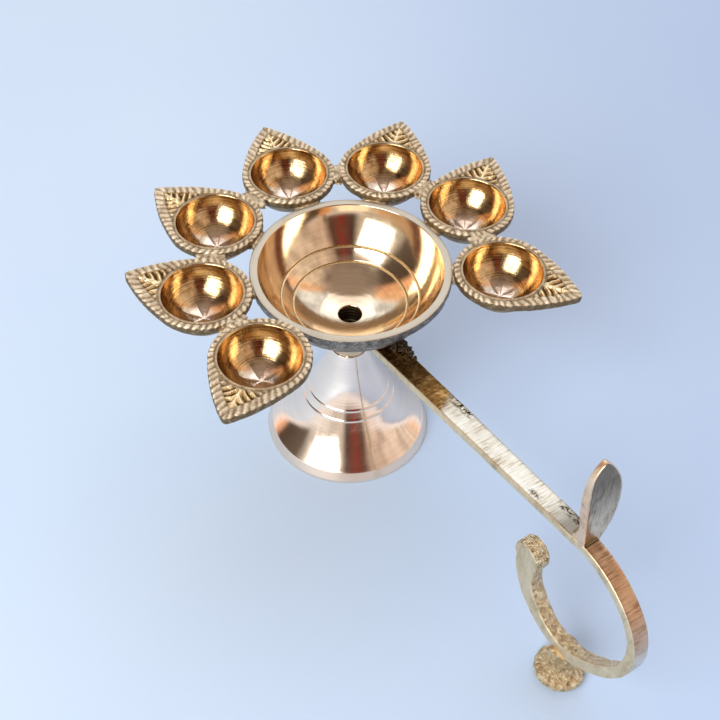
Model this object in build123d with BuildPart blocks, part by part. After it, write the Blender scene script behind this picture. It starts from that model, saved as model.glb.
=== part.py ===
"""Seven-wick hand lamp in cast brass: bell foot, oil bowl, a ring of leaf cups and a curled handle.

Units are millimetres. The origin is on the rest plane under the foot's axis, +Z is up and
+X runs along the handle.
"""

import os
from math import cos, radians, sin, sqrt

from build123d import *

# ---- oil bowl ----
RIM_Z = 81.2                # top of the bowl's rim
RIM_R = 34.2                # outside of the flat rim ring
RIM_THICK = 3.2
MOUTH_R = 31.5              # inside edge of the rim ring
BOWL_DEPTH = 23.0
BOWL_WALL = 2.4
ENGRAVED_R = (23.8, 19.7)   # the two rings cut inside the bowl
ENGRAVING = 0.3             # radius of an engraved line

# ---- bell foot ----
SEAM_Z = 42.95              # where the bowl's boss sits on the foot's neck
NECK_R = 6.5
BASE_R = 30.15
FOOT_WALL = 2.6
FOOT_CORE_Z = 27.0          # roof of the hollow under the foot
GROOVES = ((15.0, 22.9), (16.6, 19.5))    # radius and height of the two turned grooves
BEVEL = (28.2, 4.2)         # top of the plain band round the foot's edge

# ---- threaded joint, drawn as plain cylinders at the middle of the thread's depth ----
STUD_R = 3.5
SOCKET_R = 3.55
STUD_LOW_Z = 33.0
STUD_HIGH_Z = 49.4
FOOT_SOCKET_Z = 32.4        # floor of the socket in the foot
BOWL_SOCKET_Z = 51.5        # top of the threaded stretch in the bowl's boss
HOLE_R = 3.9                # free stretch of the hole, above the stud

# ---- leaf cups ----
CUP_RING_R = 51.0           # lamp axis to cup centre
CUP_AZIMUTHS = (53.5, 93.3, 132.7, 172.6, 213.5, 253.5, 292.6)
LEAF_TURNS = (-21.5, 31.0, -0.5, -5.0, -13.5, -35.5, 13.0)    # each leaf's own twist, degrees
LIP_Z = RIM_Z + 2.2
WELL_R = 13.6
WELL_DEPTH = 12.0
WELL_WALL = 1.8
LIP_STEP = 0.4              # lip above the leaf's face
LIP_WIDTH = 1.3
PLATE_THICK = 2.6
LEAF_R = 16.6               # round part of the leaf
LEAF_TIP = 28.2             # cup centre to the corner that the tip is rounded from
LEAF_TIP_ROUND = 1.6
LEAF_SHOULDER = 67.0        # degrees from the tip where the round part ends
TIP_POCKET_DEPTH = 0.9

# ---- handle ----
BAR_START = 17.5            # distance of each station from the lamp axis
BAR_END = 122.0
BAR_TOP_START = RIM_Z - 18.8
BAR_TOP_END = RIM_Z - 7.1
BAR_START_SIZE = (8.8, 3.5)
BAR_END_SIZE = (7.0, 3.3)
CURL_WIDTH = 6.2
CURL_STATIONS = (           # middle of the curl's section: distance, drop below the rim, thickness
    (119.0, 9.05, 3.3),
    (127.0, 8.85, 3.6),
    (134.0, 10.2, 3.7),
    (141.0, 13.6, 3.7),
    (147.0, 18.7, 3.6),
    (151.0, 25.3, 3.5),
    (152.5, 33.0, 3.5),
    (150.8, 42.0, 3.7),
    (146.5, 49.9, 3.9),
    (140.3, 56.8, 4.1),
    (133.0, 62.4, 4.6),
    (125.0, 65.0, 5.1),
    (117.6, 63.3, 5.7),
    (111.0, 58.6, 6.9),
    (106.6, 52.4, 7.8),
    (104.9, 46.0, 8.8),
    (105.1, 39.1, 11.0),
)
KNOB_R = 5.8

# ---- thumb leaf and rest pad ----
THUMB_X = 122.6
THUMB_THICK = 3.8
THUMB_TIP_THICK = 2.2
THUMB_TIP_Z = RIM_Z + 30.0
THUMB_SIDES = (             # each side from the foot to the tip: across, height above the rim
    ((-3.0, -9.0), (-3.7, 0.0), (-4.7, 8.5), (-5.4, 17.5), (-4.6, 25.0), (-0.6, 30.0)),
    ((3.4, -9.0), (5.4, -5.0), (7.3, 1.0), (8.0, 9.5), (6.9, 17.5), (4.2, 24.0), (-0.6, 30.0)),
)
THUMB_REACH = 9.5           # wider than the leaf on either side
PAD_X = 126.7
PAD_R = 8.7
PAD_THICK = 4.6
PAD_NECK_R = 4.4
PAD_NECK_TOP = 15.5

bowl_sphere_r = (MOUTH_R**2 + BOWL_DEPTH**2) / (2 * BOWL_DEPTH)
bowl_centre_z = RIM_Z - BOWL_DEPTH + bowl_sphere_r
belly_r = bowl_sphere_r + BOWL_WALL
well_sphere_r = (WELL_R**2 + WELL_DEPTH**2) / (2 * WELL_DEPTH)
well_centre_h = well_sphere_r - WELL_DEPTH      # centre of the well's sphere above its lip


def bowl_height(sphere_r, radius):
    """Height of a bowl surface at a distance from the lamp's axis."""
    return bowl_centre_z - sqrt(sphere_r**2 - radius**2)


def finish(builder, label):
    """Label one piece and write it as its own file."""
    builder.part.label = label
    export_step(builder.part, f"parts/{label}.step")


def ring_cut(radius, height, size):
    """Cut a round-bottomed line round the lamp's axis in the piece being built."""
    with BuildSketch(Plane.XZ) as line_section:
        with Locations((radius, height)):
            Circle(size)
    revolve(line_section.sketch, axis=Axis.Z, mode=Mode.SUBTRACT)


os.makedirs("parts", exist_ok=True)

# ---- bell foot: a turned bell, hollow underneath, with a socket down its neck ----
with BuildPart() as bell_foot:
    with BuildSketch(Plane.XZ):
        with BuildLine():
            top = Line((SOCKET_R, SEAM_Z), (NECK_R, SEAM_Z))
            Spline(top @ 1, (10.2, 32.0), GROOVES[0], GROOVES[1], (22.3, 10.6), BEVEL)
            Polyline(BEVEL, (BASE_R, 0.6), (BASE_R, 0), (BASE_R - FOOT_WALL, 0))
            inner = Spline(
                (BASE_R - FOOT_WALL, 0),
                (BEVEL[0] - FOOT_WALL, BEVEL[1] - 1.6),
                (GROOVES[1][0] - FOOT_WALL, GROOVES[1][1] - 2.4),
                (6.0, FOOT_CORE_Z),
            )
            Polyline(
                inner @ 1,
                (0, FOOT_CORE_Z),
                (0, FOOT_SOCKET_Z),
                (SOCKET_R, FOOT_SOCKET_Z),
                top @ 0,
            )
        make_face()
    revolve(axis=Axis.Z)
    for groove_r, groove_z in GROOVES:
        ring_cut(groove_r, groove_z, ENGRAVING)
finish(bell_foot, "bell_foot")

# ---- joining stud: the rod that screws the bowl to the foot ----
with BuildPart() as joining_stud:
    with BuildSketch(Plane.XY.offset(STUD_LOW_Z)):
        Circle(STUD_R)
    extrude(amount=STUD_HIGH_Z - STUD_LOW_Z)
    chamfer(joining_stud.edges().filter_by(GeomType.CIRCLE), 0.5)
finish(joining_stud, "joining_stud")

# ---- oil bowl: a cap of a sphere with a flat rim ring and a boss below ----
with BuildPart() as oil_bowl:
    boss_top_r = 9.5
    inside_middle_r = 20.0
    belly_middle_r = 24.0
    step_z = RIM_Z - RIM_THICK
    step_r = sqrt(belly_r**2 - (bowl_centre_z - step_z) ** 2)
    with BuildSketch(Plane.XZ):
        with BuildLine():
            ThreePointArc(
                (HOLE_R, bowl_height(bowl_sphere_r, HOLE_R)),
                (inside_middle_r, bowl_height(bowl_sphere_r, inside_middle_r)),
                (MOUTH_R, RIM_Z),
            )
            Polyline((MOUTH_R, RIM_Z), (RIM_R, RIM_Z), (RIM_R, step_z), (step_r, step_z))
            ThreePointArc(
                (step_r, step_z),
                (belly_middle_r, bowl_height(belly_r, belly_middle_r)),
                (boss_top_r, bowl_height(belly_r, boss_top_r)),
            )
            Polyline(
                (boss_top_r, bowl_height(belly_r, boss_top_r)),
                (NECK_R + 0.6, SEAM_Z + 3.0),
                (NECK_R, SEAM_Z),
                (SOCKET_R, SEAM_Z),
                (SOCKET_R, BOWL_SOCKET_Z),
                (HOLE_R, BOWL_SOCKET_Z),
                (HOLE_R, bowl_height(bowl_sphere_r, HOLE_R)),
            )
        make_face()
    revolve(axis=Axis.Z)
    for ring_r in ENGRAVED_R:
        ring_cut(ring_r, bowl_height(bowl_sphere_r, ring_r), ENGRAVING)
finish(oil_bowl, "oil_bowl")


def leaf_plane(number):
    """Plane at a cup's lip: its origin is the cup's centre and its X points at the leaf's tip."""
    azimuth = CUP_AZIMUTHS[number]
    tip_angle = radians(azimuth + LEAF_TURNS[number])
    centre = (CUP_RING_R * cos(radians(azimuth)), CUP_RING_R * sin(radians(azimuth)), LIP_Z)
    return Plane(origin=centre, x_dir=(cos(tip_angle), sin(tip_angle), 0), z_dir=(0, 0, 1))


def leaf_outline(radius, tip):
    """A round leaf with a pointed tip along +X, drawn in the sketch being built."""
    shoulder = radians(LEAF_SHOULDER)
    with BuildLine() as outline:
        start = (radius * cos(shoulder), radius * sin(shoulder))
        end = (start[0], -start[1])
        ThreePointArc(start, (-radius, 0), end)
        TangentArc(start, (tip, 0), tangent=(sin(shoulder), -cos(shoulder)))
        TangentArc(end, (tip, 0), tangent=(sin(shoulder), cos(shoulder)))
    leaf_face = make_face(outline.edges())
    fillet(leaf_face.vertices().sort_by(Axis.X)[-1], LEAF_TIP_ROUND)


def make_leaf_cup(number):
    """One leaf casting: a flat pointed plate with a round well hanging from it."""
    plane = leaf_plane(number)
    upright = Plane(origin=plane.origin, x_dir=plane.x_dir, z_dir=-plane.y_dir)
    pocket_start = WELL_R + LIP_WIDTH + 0.6
    with BuildPart() as leaf:
        with BuildSketch(plane.offset(-LIP_STEP)):
            leaf_outline(LEAF_R, LEAF_TIP)
        extrude(amount=-PLATE_THICK)
        with BuildSketch(plane):
            Circle(WELL_R + LIP_WIDTH)
        extrude(amount=-LIP_STEP)
        with BuildSketch(plane.offset(-LIP_STEP)):
            Polygon(
                (pocket_start + 6.2, 0),
                (pocket_start, 4.2),
                (pocket_start, -4.2),
                align=None,
            )
        extrude(amount=-TIP_POCKET_DEPTH, mode=Mode.SUBTRACT)
        for radius, mode in ((well_sphere_r + WELL_WALL, Mode.ADD), (well_sphere_r, Mode.SUBTRACT)):
            top_h = -LIP_STEP - 0.5 if mode == Mode.ADD else 1.0
            side_r = sqrt(radius**2 - (well_centre_h - top_h) ** 2)
            with BuildSketch(upright):
                with BuildLine():
                    ThreePointArc(
                        (0, well_centre_h - radius),
                        (radius * sin(radians(40)), well_centre_h - radius * cos(radians(40))),
                        (side_r, top_h),
                    )
                    Polyline((side_r, top_h), (0, top_h), (0, well_centre_h - radius))
                make_face()
            revolve(axis=Axis(plane.origin, plane.z_dir), mode=mode)
    return leaf


leaf_cups = []
for cup_number in range(len(LEAF_TURNS)):
    cup = make_leaf_cup(cup_number)
    finish(cup, f"leaf_cup_{cup_number + 1}")
    leaf_cups.append(cup.part)

# ---- braze that joins neighbouring leaves: small bridges of filler metal ----
with BuildPart() as leaf_brazes:
    bridge_size = (9.0, 5.0, 2.0)
    bridge_z = LIP_Z - LIP_STEP - PLATE_THICK / 2 - 0.2
    bridge_r = CUP_RING_R * cos(radians(20)) - 1.0
    for first, second in zip(CUP_AZIMUTHS, CUP_AZIMUTHS[1:]):
        with Locations(Location((0, 0, 0), (0, 0, (first + second) / 2))):
            with Locations((bridge_r, 0, bridge_z)):
                Box(*bridge_size)
    for cup in leaf_cups:
        add(cup, mode=Mode.SUBTRACT)
finish(leaf_brazes, "leaf_brazes")

# ---- braze that joins each leaf to the bowl's rim ring ----
with BuildPart() as rim_brazes:
    tack_size = (2.4, 8.0, 2.2)
    for cup_azimuth in CUP_AZIMUTHS:
        with Locations(Location((0, 0, 0), (0, 0, cup_azimuth))):
            with Locations((RIM_R + 0.7, 0, RIM_Z - tack_size[2] / 2)):
                Box(*tack_size)
    add(oil_bowl.part, mode=Mode.SUBTRACT)
    for cup in leaf_cups:
        add(cup, mode=Mode.SUBTRACT)
finish(rim_brazes, "rim_brazes")

# ---- handle bar: a flat straight bar that ends in a finger curl with a rounded knob ----
bar_rise = Vector(BAR_END - BAR_START, 0, BAR_TOP_END - BAR_TOP_START)
with BuildPart() as handle_bar:
    stations = ((BAR_START, BAR_TOP_START, BAR_START_SIZE), (BAR_END, BAR_TOP_END, BAR_END_SIZE))
    for station_x, top_z, (width, thick) in stations:
        bar_plane = Plane(origin=(station_x, 0, top_z), x_dir=(0, 1, 0), z_dir=bar_rise)
        with BuildSketch(bar_plane):
            with Locations((0, -thick / 2)):
                Rectangle(width, thick)
    loft()
    with BuildSketch(Plane.XZ):
        with BuildLine():
            middle = Spline(*[(x, RIM_Z - drop) for x, drop, _ in CURL_STATIONS], mode=Mode.PRIVATE)
            outer_points = []
            inner_points = []
            for x, drop, thick in CURL_STATIONS:
                point = Vector(x, RIM_Z - drop)
                along = middle.tangent_at(point)
                offset = Vector(-along.Y, along.X) * (thick / 2)
                outer_points.append(point + offset)
                inner_points.append(point - offset)
            outer = Spline(*outer_points)
            inner = Spline(*inner_points)
            Line(inner @ 0, outer @ 0)
            Line(outer @ 1, inner @ 1)
        make_face()
    extrude(amount=CURL_WIDTH / 2, both=True)
    with BuildSketch(Plane.XZ):
        with Locations(middle @ 1):
            Circle(KNOB_R)
    extrude(amount=CURL_WIDTH / 2, both=True)
    add(oil_bowl.part, mode=Mode.SUBTRACT)
finish(handle_bar, "handle_bar")

# ---- thumb leaf: an upright leaf-shaped plate that stands on the end of the bar ----
with BuildPart() as thumb_leaf:
    with BuildSketch(Plane.YZ.offset(THUMB_X)):
        with BuildLine():
            left, right = [
                Spline(*[(across, RIM_Z + height) for across, height in side])
                for side in THUMB_SIDES
            ]
            Line(left @ 0, right @ 0)
        make_face()
    extrude(amount=THUMB_THICK)
    with BuildSketch(Plane.XZ):
        with BuildLine():
            Polyline(
                (THUMB_X, RIM_Z - 9.0),
                (THUMB_X + THUMB_THICK, RIM_Z - 9.0),
                (THUMB_X + THUMB_THICK, RIM_Z + 14.0),
                (THUMB_X + THUMB_TIP_THICK + 0.7, THUMB_TIP_Z),
                (THUMB_X + 0.7, THUMB_TIP_Z),
                (THUMB_X, RIM_Z + 8.0),
                close=True,
            )
        make_face()
    extrude(amount=THUMB_REACH, both=True, mode=Mode.INTERSECT)
    add(handle_bar.part, mode=Mode.SUBTRACT)
finish(thumb_leaf, "thumb_leaf")

# ---- rest pad: the round foot under the curl, on a short neck ----
with BuildPart() as rest_pad:
    with BuildSketch(Plane.XZ):
        with BuildLine():
            flat = Polyline((PAD_X, 0), (PAD_X + PAD_R - 1.0, 0), (PAD_X + PAD_R, 1.2))
            dome = ThreePointArc(
                flat @ 1,
                (PAD_X + PAD_R - 1.3, PAD_THICK - 1.0),
                (PAD_X + PAD_NECK_R + 0.6, PAD_THICK + 0.6),
            )
            Polyline(dome @ 1, (PAD_X + PAD_NECK_R, PAD_NECK_TOP), (PAD_X, PAD_NECK_TOP), (PAD_X, 0))
        make_face()
    revolve(axis=Axis((PAD_X, 0, 0), (0, 0, 1)))
    add(handle_bar.part, mode=Mode.SUBTRACT)
finish(rest_pad, "rest_pad")

# ---- handle braze: a lump of filler where the bar's end meets the bowl's belly ----
with BuildPart() as handle_braze:
    with Locations((26.5, 3.6, RIM_Z - 19.2)):
        Sphere(5.4)
    add(oil_bowl.part, mode=Mode.SUBTRACT)
    add(handle_bar.part, mode=Mode.SUBTRACT)
finish(handle_braze, "handle_braze")
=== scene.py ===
"""Looks of the seven-wick brass hand lamp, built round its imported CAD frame.

Pieces are worked out in millimetres and written in metres. The origin is on the floor under the
foot's axis, +Z is up and +X runs along the handle.
"""

import itertools
import math

import bpy
import numpy as np
from mathutils import Matrix, Vector


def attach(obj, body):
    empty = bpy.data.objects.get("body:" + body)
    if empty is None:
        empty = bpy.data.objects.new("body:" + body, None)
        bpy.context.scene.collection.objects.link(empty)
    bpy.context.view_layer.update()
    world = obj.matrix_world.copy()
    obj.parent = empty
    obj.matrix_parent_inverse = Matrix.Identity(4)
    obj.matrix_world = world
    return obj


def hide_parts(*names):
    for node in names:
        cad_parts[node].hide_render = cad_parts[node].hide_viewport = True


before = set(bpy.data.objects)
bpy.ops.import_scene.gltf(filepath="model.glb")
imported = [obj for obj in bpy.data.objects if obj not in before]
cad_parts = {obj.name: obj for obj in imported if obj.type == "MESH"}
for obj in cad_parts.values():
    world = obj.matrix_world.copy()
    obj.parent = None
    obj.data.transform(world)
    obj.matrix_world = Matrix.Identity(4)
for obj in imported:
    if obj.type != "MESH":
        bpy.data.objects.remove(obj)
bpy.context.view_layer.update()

MM = 0.001
RIM_Z = 81.2                # top of the bowl's rim, as in the CAD model
SEAM_Z = 42.95              # where the bowl's boss meets the foot
CUP_RING_R = 51.0           # from the lamp's axis to the middle of each well
# Degrees round the lamp's axis, and how far each leaf is turned from pointing straight outward.
CUP_AZIMUTHS = (53.5, 93.3, 132.7, 172.6, 213.5, 253.5, 292.6)
LEAF_TURNS = (-21.5, 31.0, -0.5, -5.0, -13.5, -35.5, 13.0)
LIP_Z = RIM_Z + 2.2         # top of the wells
WELL_R = 13.6
WELL_DEPTH = 12.0
WELL_WALL = 1.8
LEAF_R = 16.6               # the leaf's round end, about the well's middle
LEAF_TIP = 28.2             # where the leaf's sides would meet, before TIP_ROUND rounds them off
TIP_ROUND = 1.6
LEAF_SHOULDER = math.radians(67)        # where the round end runs into a side, from the tip's direction
LEAF_FACE = -0.4            # height of the leaf's face from the well's lip
PLATE_THICK = 2.6
THREAD_PITCH = 1.5
SOCKET_R = 3.55             # the stud's sockets in the foot and the bowl
SOCKET_FLOOR = 32.4
HOLE_R = 3.9                # hole in the bowl's bottom

# ---------------- numbers and shapes

LATTICE = np.random.default_rng(11).uniform(-1, 1, (32, 32, 32))


def grain(points, size, seed=0.0):
    """Smooth random values from -1 to 1 at the points, with lumps about size across."""
    scaled = np.asarray(points, float) / size + seed
    cell = np.floor(scaled).astype(int)
    part = scaled - cell
    part = part * part * (3 - 2 * part)
    total = np.zeros(scaled.shape[:-1])
    for corner in itertools.product((0, 1), repeat=3):
        weight = np.prod(np.where(corner, part, 1 - part), axis=-1)
        i, j, k = np.moveaxis((cell + corner) % 32, -1, 0)
        total += weight * LATTICE[i, j, k]
    return total


def ramp(value, low, high):
    """0 below low, 1 above high, smooth between."""
    t = np.clip((np.asarray(value, float) - low) / (high - low), 0, 1)
    return t * t * (3 - 2 * t)


def spline(points, spacing):
    """Points along a smooth curve through the given ones, evenly spaced. Works in any dimension."""
    p = np.asarray(points, float)
    knots = np.r_[0, np.cumsum(np.linalg.norm(np.diff(p[:, :2], axis=0), axis=1))]
    slopes = np.gradient(p, knots, axis=0)
    count = max(2, int(round(knots[-1] / spacing)) + 1)
    at = np.linspace(0, knots[-1], count)
    k = np.clip(np.searchsorted(knots, at, side="right") - 1, 0, len(knots) - 2)
    h = (knots[k + 1] - knots[k])[:, None]
    t = (at - knots[k])[:, None] / h
    return (
        (2 * t**3 - 3 * t**2 + 1) * p[k]
        + (t**3 - 2 * t**2 + t) * h * slopes[k]
        + (3 * t**2 - 2 * t**3) * p[k + 1]
        + (t**3 - t**2) * h * slopes[k + 1]
    )


def circle_arc(centre, radius, start, end, count):
    """Points in a plane on an arc, angles in degrees from straight down, counter-clockwise."""
    angle = np.radians(np.linspace(start, end, count))
    return np.c_[centre[0] + radius * np.sin(angle), centre[1] - radius * np.cos(angle)]


def line(*corners, spacing=0.8):
    """Points along straight runs between the corners."""
    runs = []
    for a, b in itertools.pairwise(np.asarray(corners, float)):
        count = max(1, int(np.ceil(np.linalg.norm(b - a) / spacing)))
        runs.append(a + (b - a) * np.linspace(0, 1, count + 1)[:, None])
    return np.vstack(runs)


def tidy_profile(*pieces):
    """Join pieces of a profile and drop points that repeat."""
    points = np.vstack(pieces)
    keep = np.r_[True, np.linalg.norm(np.diff(points, axis=0), axis=1) > 0.02]
    return points[keep]


def ring_point(radius, azimuth, height):
    """A point at a distance from the lamp's axis, azimuth in degrees."""
    angle = math.radians(azimuth)
    return (radius * math.cos(angle), radius * math.sin(angle), height)


def turned(points, degrees):
    """Points turned about the Z axis."""
    c, s = math.cos(math.radians(degrees)), math.sin(math.radians(degrees))
    return np.c_[points[:, 0] * c - points[:, 1] * s, points[:, 0] * s + points[:, 1] * c, points[:, 2]]


# ---------------- meshes


def add_object(name, data):
    made = bpy.data.objects.new(name, data)
    bpy.context.scene.collection.objects.link(made)
    return made


def mesh_piece(name, points, faces, materials, body, cad_nodes, face_materials=None, relief=None,
               own=None):
    """A smooth closed mesh in the lamp's frame, points in millimetres, that rides on a CAD body.

    relief says how exposed each point is, from 0 to 1, and own is its place in the piece's own frame.
    """
    mesh = bpy.data.meshes.new(name)
    mesh.from_pydata((np.asarray(points) * MM).tolist(), [], faces)
    for material in materials:
        mesh.materials.append(material)
    mesh.polygons.foreach_set("use_smooth", [True] * len(mesh.polygons))
    if face_materials is not None:
        mesh.polygons.foreach_set("material_index", np.asarray(face_materials, dtype=np.int32))
    if relief is not None:
        layer = mesh.attributes.new("relief", "FLOAT", "POINT")
        layer.data.foreach_set("value", np.asarray(relief, dtype=np.float32))
    if own is not None:
        layer = mesh.attributes.new("own", "FLOAT_VECTOR", "POINT")
        layer.data.foreach_set("vector", (np.asarray(own) * MM).astype(np.float32).ravel())
    piece = add_object(name, mesh)
    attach(piece, body)
    if cad_nodes:
        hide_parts(*cad_nodes)


def grid_faces(rows, columns, close_rows=False):
    """Quads of a grid whose columns close on themselves, and its rows too if close_rows."""
    faces = []
    last = rows if close_rows else rows - 1
    for i in range(last):
        a = i * columns
        b = ((i + 1) % rows) * columns
        for j in range(columns):
            k = (j + 1) % columns
            faces.append((a + j, a + k, b + k, b + j))
    return faces


def capped_faces(rows, columns):
    """Faces of a grid, and a fan over each end to the two points that follow the grid's own."""
    last, centre = (rows - 1) * columns, rows * columns
    faces = grid_faces(rows, columns)
    faces += [(centre, (j + 1) % columns, j) for j in range(columns)]
    faces += [(centre + 1, last + j, last + (j + 1) % columns) for j in range(columns)]
    return faces


def flip_all(faces):
    """The same faces, turned to look the other way."""
    return [tuple(reversed(face)) for face in faces]


def nearest_row(profile, point):
    """Number of the profile's point that lies nearest to the given one."""
    return int(np.argmin(np.linalg.norm(profile - np.asarray(point), axis=1)))


def lathe_points(profile, sectors):
    """Ring after ring of points round the Z axis."""
    angle = np.arange(sectors) * 2 * math.pi / sectors
    ring = np.stack([np.cos(angle), np.sin(angle)], axis=1)
    rows = [np.c_[ring * r, np.full(sectors, z)] for r, z in profile]
    return np.vstack(rows)


# ---------------- materials


def new_material(name):
    material = bpy.data.materials.new(name)
    material.use_nodes = True
    tree = material.node_tree
    return material, tree, tree.nodes["Principled BSDF"]


def add_node(tree, kind, inputs=None, **settings):
    """A shader node with its settings and input values; a link is given as an output socket."""
    node = tree.nodes.new("ShaderNode" + kind)
    for key, value in settings.items():
        setattr(node, key, value)
    for key, value in (inputs or {}).items():
        if isinstance(value, bpy.types.NodeSocket):
            tree.links.new(value, node.inputs[key])
        else:
            node.inputs[key].default_value = value
    return node


def maths(tree, operation, *values):
    return add_node(tree, "Math", dict(enumerate(values)), operation=operation).outputs[0]


def noise(tree, vector, scale, detail=4.0, roughness=0.55, distortion=0.0):
    inputs = {"Scale": scale, "Detail": detail, "Roughness": roughness, "Distortion": distortion}
    return add_node(tree, "TexNoise", {"Vector": vector, **inputs}).outputs["Fac"]


def colours(tree, factor, *stops):
    """Colour from a factor, through stops of (position, colour)."""
    node = add_node(tree, "ValToRGB", {"Fac": factor})
    ramp_stops = node.color_ramp.elements
    while len(ramp_stops) < len(stops):
        ramp_stops.new(0.5)
    for element, (position, colour) in zip(ramp_stops, stops):
        element.position = position
        element.color = (*colour, 1)
    return node.outputs["Color"]


def spread(tree, factor, low, high, to_low, to_high):
    """A factor stretched from one range to another and clamped."""
    inputs = {"Value": factor, "From Min": low, "From Max": high, "To Min": to_low, "To Max": to_high}
    return add_node(tree, "MapRange", inputs).outputs["Result"]


def mix(tree, factor, a, b):
    node = add_node(tree, "Mix", data_type="RGBA")
    for key, value in (("Factor", factor), ("A", a), ("B", b)):
        socket = [s for s in node.inputs if s.name == key and s.type in ("RGBA", "VALUE") and s.enabled][0]
        if isinstance(value, bpy.types.NodeSocket):
            tree.links.new(value, socket)
        else:
            socket.default_value = value if key == "Factor" else (*value, 1)
    return [s for s in node.outputs if s.type == "RGBA"][0]


def bump(tree, height, distance, strength=1.0, normal=None):
    inputs = {"Height": height, "Distance": distance, "Strength": strength}
    if normal is not None:
        inputs["Normal"] = normal
    return add_node(tree, "Bump", inputs).outputs["Normal"]


def object_point(tree):
    return add_node(tree, "TexCoord").outputs["Object"]


def coordinates(tree, vector):
    """The X, Y and Z of a vector, as sockets."""
    return add_node(tree, "SeparateXYZ", {"Vector": vector}).outputs


def stretched(tree, vector, scale):
    return add_node(tree, "Mapping", {"Vector": vector, "Scale": scale}).outputs[0]


def lathe_place(tree, point):
    """Distance from the piece's own Z axis in metres, and a vector that is the same all round it."""
    x, y, z = coordinates(tree, point)
    squares = maths(tree, "ADD", maths(tree, "MULTIPLY", x, x), maths(tree, "MULTIPLY", y, y))
    radius = maths(tree, "SQRT", squares)
    return radius, add_node(tree, "CombineXYZ", {"X": radius, "Y": z}).outputs[0]


def blend(tree, a, b, share):
    """Two factors mixed: this share of the first, and the rest of the second."""
    rest = maths(tree, "MULTIPLY", b, 1 - share)
    return maths(tree, "ADD", maths(tree, "MULTIPLY", a, share), rest)


def finish_metal(tree, shader, colour, rough, normal):
    """Bare metal with the given colour, roughness and bumped normal."""
    shader.inputs["Metallic"].default_value = 1.0
    for name, value in (("Base Color", colour), ("Roughness", rough), ("Normal", normal)):
        tree.links.new(value, shader.inputs[name])


def turned_metal(name, base, worn, roughness, line_scale, line_depth, ring_tint=0.0):
    """Polished brass with fine rings left by the lathe, faint wipe marks and slow colour drift."""
    material, tree, shader = new_material(name)
    point = object_point(tree)
    ring_at = lathe_place(tree, point)[1]
    rings = noise(tree, ring_at, line_scale, detail=6.0, roughness=0.7)
    broad_rings = noise(tree, ring_at, line_scale * 0.3, detail=1.0)
    smears = noise(tree, point, 60.0, detail=5.0)
    scratches = noise(tree, stretched(tree, point, (900, 60, 500)), 1.0)
    smeared = colours(tree, smears, (0.30, base), (0.62, base), (0.92, worn))
    in_rings = tuple(0.45 * value for value in worn)
    colour = mix(tree, spread(tree, rings, 0.42, 0.64, 0.0, ring_tint), smeared, in_rings)
    smear_rough = spread(tree, smears, 0.35, 0.8, roughness, roughness + 0.07)
    rough = maths(tree, "ADD", smear_rough, spread(tree, scratches, 0.55, 0.8, 0.0, 0.06))
    waves = bump(tree, broad_rings, line_depth * 1.6)
    finish_metal(tree, shader, colour, rough, bump(tree, rings, line_depth, normal=waves))
    return material


def cast_metal(name, low, middle, high, roughness, lump_depth=0.0001, relief_share=0.0, grains=1900.0):
    """Sand-cast brass: grainy skin, dark in the valleys and rubbed brighter on the ridges."""
    material, tree, shader = new_material(name)
    point = object_point(tree)
    fine = noise(tree, point, grains, detail=5.0, roughness=0.7)
    coarse = noise(tree, point, grains * 0.25, detail=6.0, roughness=0.65)
    shade = blend(tree, fine, coarse, 0.4)
    if relief_share:
        relief = add_node(tree, "Attribute", attribute_name="relief").outputs["Fac"]
        shade = blend(tree, relief, shade, relief_share)
    colour = colours(tree, shade, (0.34, low), (0.48, middle), (0.64, high))
    rough = spread(tree, shade, 0.25, 0.7, roughness + 0.15, roughness - 0.06)
    lumps = bump(tree, coarse, lump_depth * 2.5)
    finish_metal(tree, shader, colour, rough, bump(tree, fine, lump_depth, normal=lumps))
    return material


def well_metal():
    """The polished inside of a well: gold, with rings left by the cutter and darker smears, and a painted
    reflection that turns its bottom pale pinkish white.
    """
    material, tree, shader = new_material("well_polished")
    place = add_node(tree, "Attribute", attribute_name="own").outputs["Vector"]
    radius, ring_at = lathe_place(tree, place)
    rings = noise(tree, ring_at, 2400.0, detail=5.0, roughness=0.7)
    broad_rings = noise(tree, ring_at, 600.0, detail=2.0)
    smears = noise(tree, object_point(tree), 210.0, detail=6.0, roughness=0.6)
    shade = blend(tree, smears, rings, 0.55)
    gold = colours(tree, shade, (0.39, (0.26, 0.14, 0.05)), (0.50, (0.62, 0.43, 0.22)),
                   (0.64, (0.82, 0.64, 0.40)))
    # Painted reflection: pale pinkish white painted over the well's bottom, fading out by 7.8 mm from its
    # middle.
    painted_bottom_reflection = spread(tree, radius, 0.0030, 0.0078, 0.80, 0.0)
    colour = mix(tree, painted_bottom_reflection, gold, (0.90, 0.74, 0.62))
    rough = spread(tree, rings, 0.3, 0.75, 0.07, 0.20)
    waves = bump(tree, smears, 0.00014)
    ridges = bump(tree, broad_rings, 0.00004, normal=waves)
    finish_metal(tree, shader, colour, rough, bump(tree, rings, 0.00002, normal=ridges))
    return material


def groove_metal():
    """The bottom of an engraved line, left unpolished."""
    material, tree, shader = new_material("engraved_line")
    grit = noise(tree, object_point(tree), 1400.0)
    colour = colours(tree, grit, (0.35, (0.42, 0.27, 0.10)), (0.65, (0.75, 0.55, 0.28)))
    tree.links.new(colour, shader.inputs["Base Color"])
    shader.inputs["Metallic"].default_value = 1.0
    shader.inputs["Roughness"].default_value = 0.35
    return material


def filed_streaks(tree, point, across):
    """Short fine streaks across a bar, and slow blotches."""
    streaks = noise(tree, stretched(tree, point, across), 1.0, detail=7.0, roughness=0.72)
    blotches = noise(tree, point, 130.0, detail=5.0)
    return streaks, blotches


def within(tree, value, low, high, soft):
    """1 where the value lies between low and high, falling to 0 outside."""
    rise = spread(tree, value, low - soft, low + soft, 0.0, 1.0)
    fall = spread(tree, value, high - soft, high + soft, 1.0, 0.0)
    return maths(tree, "MULTIPLY", rise, fall)


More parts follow.
